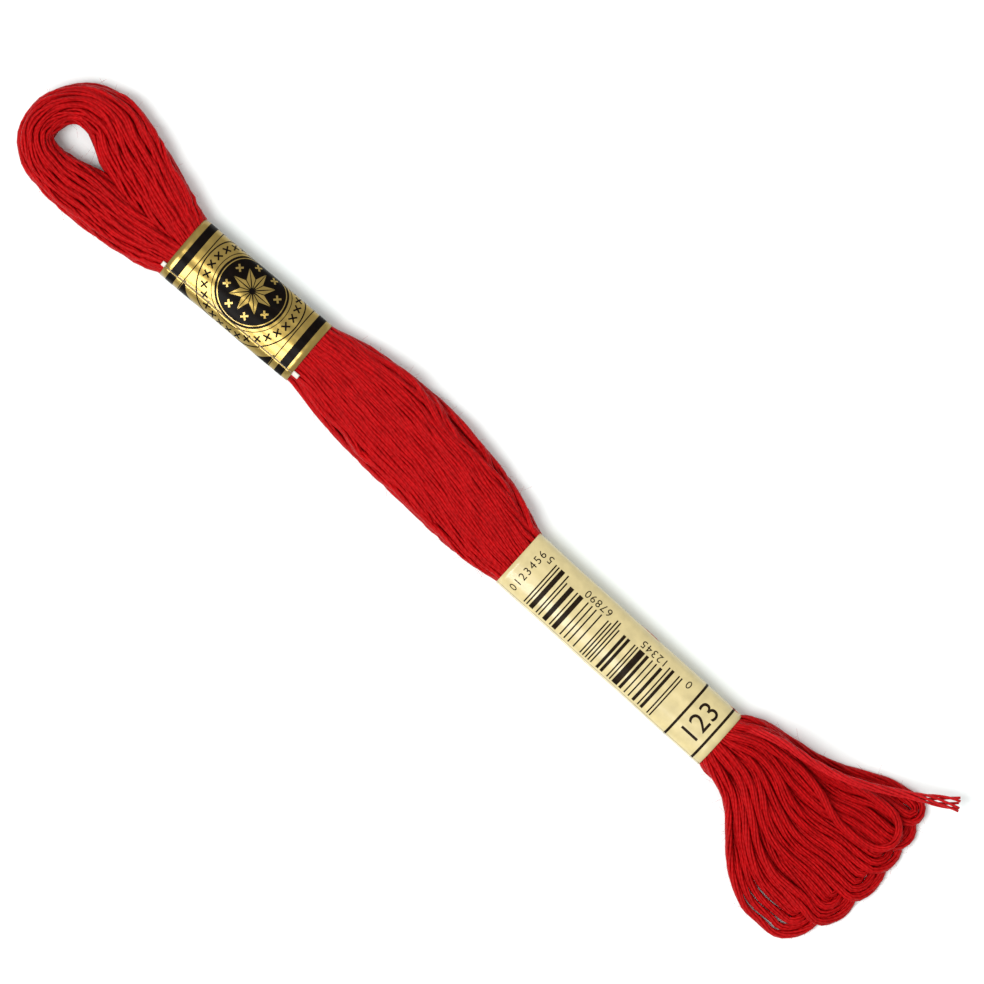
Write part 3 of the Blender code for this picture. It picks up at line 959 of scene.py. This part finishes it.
def sleeve_piece(name, sleeve, front, back):
    """The strip of paper itself, wound once round and lapped, with its own thickness."""
    t = np.linspace(0.0, sleeve.length, int(sleeve.length / 0.8) + 2)
    q = np.linspace(0.0, sleeve.around + LAP, int((sleeve.around + LAP) / 0.3))
    under = np.clip((q - LAP) / LAP_STEP, 0, 1)
    level = -(PAPER + LAP_GAP) * under**2 * (3 - 2 * under)
    tt, qq = np.meshgrid(t, q, indexing="ij")
    points = sleeve.points(tt, sleeve.lap_edge - qq, level[None])
    obj = grid_mesh(name, points, front)
    obj.data.materials.append(back)
    wall = obj.modifiers.new("paper", "SOLIDIFY")
    wall.thickness = PAPER * MM
    wall.offset = -1.0
    wall.material_offset = 1
    wall.material_offset_rim = 1
    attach(obj, "root")
    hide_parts(name)
    return obj


def printed(name, sleeve, shapes, mat, lift):
    """Flat shapes of (t, p) points, laid on the band as ink."""
    bm = bmesh.new()
    for shape in shapes:
        if isinstance(shape, bpy.types.Mesh):
            bm.from_mesh(shape)
            continue
        bm.faces.new([bm.verts.new((t, p, 0.0)) for t, p in shape])
    bmesh.ops.triangulate(bm, faces=bm.faces)
    # The shapes are cut into cells small enough to follow the band's own ripples.
    for axis, cell in enumerate(INK_CELLS):
        low = min(v.co[axis] for v in bm.verts)
        high = max(v.co[axis] for v in bm.verts)
        normal = (1 - axis, axis, 0)
        for cut in np.arange(low + cell, high, cell):
            geom = [*bm.verts, *bm.edges, *bm.faces]
            bmesh.ops.bisect_plane(bm, geom=geom, plane_co=np.multiply(normal, cut), plane_no=normal)
    bmesh.ops.triangulate(bm, faces=bm.faces)
    flat = np.array([v.co[:] for v in bm.verts])
    # Past the lap's edge the print is on the outer layer.
    under = np.clip((sleeve.lap_edge - flat[:, 1] + 1e-4) / 1e-3, 0, 1)
    level = -(PAPER + LAP_GAP) * (1 - under)
    spots = place(sleeve.points(flat[:, 0], flat[:, 1], level + lift))
    for vert, spot in zip(bm.verts, spots):
        vert.co = spot
    bmesh.ops.recalc_face_normals(bm, faces=bm.faces)
    for face in bm.faces:
        face.smooth = True
        if face.normal.z < 0:
            face.normal_flip()
    mesh = bpy.data.meshes.new(name)
    bm.to_mesh(mesh)
    bm.free()
    obj = linked(name, mesh, mat)
    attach(obj, "root")
    return obj


def box_shape(t0, t1, p0, p1):
    return [(t0, p0), (t1, p0), (t1, p1), (t0, p1)]


def digits(text, height, spot, turn, spacing):
    """Plain digits as a flat mesh, that high, with their middle at the spot."""
    curve = bpy.data.curves.new("digits", "FONT")
    curve.body = text
    curve.space_character = spacing
    curve.resolution_u = 4
    obj = bpy.data.objects.new("digits", curve)
    bpy.context.scene.collection.objects.link(obj)
    graph = bpy.context.evaluated_depsgraph_get()
    mesh = bpy.data.meshes.new_from_object(obj.evaluated_get(graph))
    bpy.data.objects.remove(obj)
    co = np.array([v.co[:] for v in mesh.vertices])
    low, high = co.min(0), co.max(0)
    co = (co - (low + high) / 2) * height / (high[1] - low[1])
    c, s = math.cos(turn), math.sin(turn)
    t = co[:, 0] * c - co[:, 1] * s + spot[0]
    p = co[:, 0] * s + co[:, 1] * c + spot[1]
    mesh.vertices.foreach_set("co", np.stack([t, p, co[:, 0] * 0], axis=1).reshape(-1))
    mesh.materials.clear()
    return mesh


BAR_WIDTHS = ("3211", "2221", "2122", "1411", "1132", "1231", "1114", "1312", "1213", "3112")
BAR_DIGITS = "012345678905"
BAR_MODULE = 0.264
BAR_TRIM = 0.02


def bar_bits(text, tones):
    """The modules of some digits, 1 where there is ink."""
    widths = "".join(BAR_WIDTHS[int(digit)] for digit in text)
    return "".join(tones[k % 2] * int(width) for k, width in enumerate(widths))


def bar_code(start, low, high, guard):
    """The bars of a made-up number, read from the far end, with taller ones as guards."""
    left, right = bar_bits(BAR_DIGITS[:6], "01"), bar_bits(BAR_DIGITS[6:], "10")
    runs = [("101", True), (left[:7], True), (left[7:], False), ("01010", True)]
    runs += [(right[:-7], False), (right[-7:], True), ("101", True)]
    shapes = []
    place_in = 0
    for bits, tall in runs:
        k = 0
        while k < len(bits):
            if bits[k] == "1":
                width = 1
                while k + width < len(bits) and bits[k + width] == "1":
                    width += 1
                t1 = start + (95 - place_in - k) * BAR_MODULE
                t0 = t1 - width * BAR_MODULE
                top = guard if tall else high
                shapes.append(box_shape(t0 + BAR_TRIM, t1 - BAR_TRIM, low, top))
                k += width
            else:
                k += 1
        place_in += len(bits)
    return shapes


def ring_shapes(centre, inner, outer, limits, steps=96):
    """The cells of a ring that lie within the t limits."""
    shapes = []
    for k in range(steps):
        a0, a1 = (2 * math.pi * (k + j) / steps for j in (0, 1))
        corners = ((inner, a0), (outer, a0), (outer, a1), (inner, a1))
        cell = [on_circle(centre, radius, a) for radius, a in corners]
        if min(c[0] for c in cell) >= limits[0] and max(c[0] for c in cell) <= limits[1]:
            shapes.append(cell)
    return shapes


def on_circle(centre, radius, angle):
    return centre[0] + radius * math.cos(angle), centre[1] + radius * math.sin(angle)


def disc_shape(centre, radius, steps=72):
    return [on_circle(centre, radius, 2 * math.pi * k / steps) for k in range(steps)]


def star_shapes(centre, size):
    """An eight-pointed patchwork star: eight diamonds, each split along its length."""
    shapes = []
    for k in range(8):
        a = math.pi / 4 * k
        tip = on_circle(centre, size, a)
        for side in (-1, 1):
            b = a + side * math.pi / 8
            corner = on_circle(centre, 0.5 * size, b)
            root = on_circle(centre, 0.06 * size, b)
            shapes.append([root, corner, tip] if side > 0 else [root, tip, corner])
    shrunk = []
    for shape in shapes:
        middle = np.mean(shape, axis=0)
        shrunk.append([tuple(middle + (np.array(c) - middle) * 0.86) for c in shape])
    return shrunk


def cross_shapes(centre, size, turn, thick):
    """A cross stitch."""
    shapes = []
    for a in (turn + math.pi / 4, turn - math.pi / 4):
        along = np.array([math.cos(a), math.sin(a)]) * size / 2
        aside = np.array([-math.sin(a), math.cos(a)]) * thick / 2
        signs = ((-1, -1), (1, -1), (1, 1), (-1, 1))
        shapes.append([tuple(np.array(centre) + u * along + v * aside) for u, v in signs])
    return shapes


# The short band's print, all from its middle: the emblem's discs and rings, and the frame's lines.
EMBLEM_P = 1.5  # round the band from its crown
EMBLEM_RADIUS = 5.6
EMBLEM_LINE = (5.1, 5.25)  # inner and outer radius
RING_LINES = ((8.2, 8.4), (6.0, 6.12))
STITCHES = 28
STITCH_RADIUS = 7.15
STAR_SIZE = 3.7
DOT_RADIUS = 3.9
FRAME_BAR = (9.75, 11.1)
FRAME_LINE = (8.62, 8.78)
PANEL_HALF = 8.6
CORNER_HALF = 8.55
CORNER_RADIUS = 9.95
GOLD = (0.30, 0.205, 0.045)


def short_band(rng):
    sleeve = Sleeve("short_band", rng)
    gold = paper_material("gold_foil_paper", GOLD, 0.3, metallic=0.85)
    white = paper_material("paper_back", (0.6, 0.54, 0.48), 0.6)
    ink = ink_material("black_ink", (0.0018, 0.0008, 0.0004))
    gold_ink = paper_material("gold_foil_print", GOLD, 0.3, metallic=0.85)
    sleeve_piece("short_band", sleeve, gold, white)
    middle = sleeve.length / 2
    spot = (middle, EMBLEM_P)
    side = sleeve.around / 2 - EDGE_MARGIN
    black = []
    for sign in (-1, 1):
        for near, far in (FRAME_BAR, FRAME_LINE):
            ends = sorted((middle + sign * near, middle + sign * far))
            black.append(box_shape(*ends, -side, side))
    black.append(disc_shape(spot, EMBLEM_RADIUS))
    panel = (middle - PANEL_HALF, middle + PANEL_HALF)
    for inner, outer in RING_LINES:
        black += ring_shapes(spot, inner, outer, panel, steps=144)
    arc = np.linspace(math.acos(CORNER_HALF / CORNER_RADIUS), math.pi / 2 - 0.02, 14)
    for sign_t in (-1, 1):
        for sign_p in (-1, 1):
            corner = []
            for a in arc:
                t = middle + sign_t * CORNER_RADIUS * math.cos(a)
                corner.append((t, spot[1] + sign_p * CORNER_RADIUS * math.sin(a)))
            corner.append((middle + sign_t * CORNER_HALF, spot[1] + sign_p * CORNER_RADIUS))
            black.append(corner)
    for k in range(STITCHES):
        a = 2 * math.pi * (k + 0.5) / STITCHES
        black += cross_shapes(on_circle(spot, STITCH_RADIUS, a), 1.35, a, 0.26)
    printed("short_band_ink", sleeve, black, ink, INK_LIFT)
    shine = star_shapes(spot, STAR_SIZE)
    for k in range(8):
        a = math.pi / 4 * (k + 0.5)
        shine += cross_shapes(on_circle(spot, DOT_RADIUS, a), 1.2, 0.0, 0.3)
    shine += ring_shapes(spot, *EMBLEM_LINE, panel)
    printed("short_band_star", sleeve, shine, gold_ink, OVERPRINT_LIFT)
    # The strip's inner end shows as a pale tip at each end of the band.
    for k, ends in enumerate(((-TIPS[0], 0.0), (sleeve.length, sleeve.length + TIPS[1]))):
        p = np.linspace(*(sleeve.lap_edge + side for side in TIP_SIDES), 4)
        tt, pp = np.meshgrid(np.linspace(*ends, 5), p, indexing="ij")
        tip = grid_mesh(f"short_band_tip_{k}", sleeve.points(tt, pp, -PAPER)[:, ::-1], white)
        wall = tip.modifiers.new("paper", "SOLIDIFY")
        wall.thickness = PAPER * MM
        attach(tip, "root")


# The long band's print, along it from its left end and round it from the crown.
BAR_CODE = (4.8, -4.7, 2.0, 3.0)  # its left end, underside, top and its taller bars' top
STRIPES = (33.2, 38.5)
STRIPE_HALF = 0.2
NUMBERS = (
    # digits, height, middle, turn, spacing
    ("0123456", 1.25, (2.35, -0.6), math.pi / 2, 1.25),
    ("123", 3.1, (35.9, 0.1), math.pi / 2, 1.0),
    ("67890", 1.25, (13.3, 2.95), math.pi, 1.15),
    ("12345", 1.25, (24.2, 2.95), math.pi, 1.15),
    ("5", 1.25, (3.8, 2.95), math.pi, 1.0),
    ("0", 1.25, (31.1, 2.95), math.pi, 1.0),
)


def long_band(rng):
    sleeve = Sleeve("long_band", rng)
    cream = paper_material("cream_coated_paper", (0.55, 0.455, 0.215), 0.32)
    back = paper_material("cream_paper_back", (0.75, 0.72, 0.62), 0.6)
    ink = ink_material("brown_black_ink", (0.008, 0.0045, 0.002))
    sleeve_piece("long_band", sleeve, cream, back)
    side = sleeve.around / 2 - EDGE_MARGIN
    shapes = bar_code(*BAR_CODE)
    for t in STRIPES:
        shapes.append(box_shape(t - STRIPE_HALF, t + STRIPE_HALF, -side, side))
    for row in NUMBERS:
        shapes.append(digits(*row))
    printed("long_band_ink", sleeve, shapes, ink, INK_LIFT)


# ---- the loose end

LOOSE_ROUTE = (
    # x, y, z
    (136.6, -0.5, 3.6),
    (139.6, 0.7, 4.4),
    (144.2, 2.5, 5.2),
    (150.3, 3.7, 5.1),
    (155.6, 5.4, 4.85),
    (159.4, 7.4, 4.55),
    (162.7, 9.4, 4.3),
    (166.0, 11.4, 4.0),
    (169.9, 13.9, 3.6),
)
FLARE_START = 163.5  # where the strands begin to part
FLARE = 1.3
LOOSE_STRAND = 0.2  # a strand's radius


def loose_end(rng, mat):
    line = smooth_rows(LOOSE_ROUTE, step=0.8)
    lines = twisted(line, rng, LOOSE_STRAND)
    spread = np.clip((line[:, 0] - FLARE_START) / (line[-1, 0] - FLARE_START), 0, 1) ** 1.5
    off = lines - line[None]
    off[..., :2] *= 1 + FLARE * spread[None, :, None]
    lines = line[None] + off
    obj = tubes("loose_end_strands", lines, LOOSE_STRAND, mat, sides=8)
    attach(obj, "root")
    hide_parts("loose_end")
    return obj


# ---- the scene


def camera():
    data = bpy.data.cameras.new("photo_camera")
    data.lens = LENS
    data.sensor_width = SENSOR
    obj = bpy.data.objects.new("photo_camera", data)
    spot = place(VIEW_MIDDLE)
    obj.location = Vector(spot) + Vector((0, 0, VIEW_WIDTH * MM * LENS / SENSOR))
    obj.rotation_euler = (0.0, 0.0, VIEW_TURN)
    data.clip_start = 0.01
    data.clip_end = 20.0
    bpy.context.scene.collection.objects.link(obj)
    bpy.context.scene.camera = obj


def light(name, spot, target, size, power):
    data = bpy.data.lights.new(name, "AREA")
    data.shape = "DISK"
    data.size = size
    data.energy = power
    obj = bpy.data.objects.new(name, data)
    obj.location = spot
    obj.rotation_euler = (Vector(target) - Vector(spot)).to_track_quat("-Z", "Y").to_euler()
    bpy.context.scene.collection.objects.link(obj)


def surroundings():
    bpy.ops.mesh.primitive_plane_add(size=6.0)
    floor = bpy.context.object
    floor.name = "floor"
    pale = {"Base Color": (0.86, 0.9, 0.89, 1.0), "Roughness": 0.9}
    floor.data.materials.append(material("floor_paper", pale)[0])
    world = bpy.data.worlds.new("studio")
    bpy.context.scene.world = world
    world.use_nodes = True
    sky = world.node_tree.nodes["Background"]
    sky.inputs["Color"].default_value = (1.0, 1.0, 1.0, 1.0)
    sky.inputs["Strength"].default_value = 0.8
    light("key", (-0.13, -0.28, 0.6), (0.0, 0.0, 0.0), 0.4, 3.7)
    light("glint", (-0.05, -0.5, 0.42), (0.0, 0.0, 0.0), 0.08, 0.3)
    bpy.context.scene.view_settings.view_transform = "Standard"


def main():
    rng = np.random.default_rng(SEED)
    camera()
    red = floss_material("red_floss", (0.22, 0.0004, 0.001), (0.46, 0.002, 0.0035))
    # The loose end has a lighter copy of the same red floss: painted light.
    lit_red_floss = floss_material("red_floss_cut_end_painted_light", (0.28, 0.0016, 0.003), (0.56, 0.01, 0.013))
    loose_end(rng, lit_red_floss)
    lines, radii = bundle_strands(rng)
    thirds = np.array_split(np.arange(len(lines)), 3)
    for k, part in enumerate(thirds):
        obj = tubes(f"hank_threads_{k}", lines[part], radii[None], red)
        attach(obj, "root")
        if k == 0:
            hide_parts("hank")
    loops = settled(fan_routes(rng))
    fan = []
    for k in range(2):
        parts = []
        for route in loops[k * 12 : k * 12 + 12]:
            parts.append(twisted(route, rng, FAN_STRAND))
        longest = max(part.shape[1] for part in parts)
        even = [resampled(part, longest) for part in parts]
        fan.append(np.concatenate(even))
        obj = tubes(f"fan_threads_{k}", fan[-1], FAN_STRAND, red)
        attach(obj, "root")
    hairs = fibres(rng, [lines, *fan])
    obj = tubes("floss_fibres", hairs, FIBRE_RADIUS, red, sides=3, columns=50)
    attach(obj, "root")
    short_band(rng)
    long_band(rng)
    surroundings()


def resampled(lines, count):
    """Lines with that many stations each."""
    at = np.linspace(0, lines.shape[1] - 1, count)
    i = np.clip(at.astype(int), 0, lines.shape[1] - 2)
    t = (at - i)[None, :, None]
    return lines[:, i] * (1 - t) + lines[:, i + 1] * t


main()
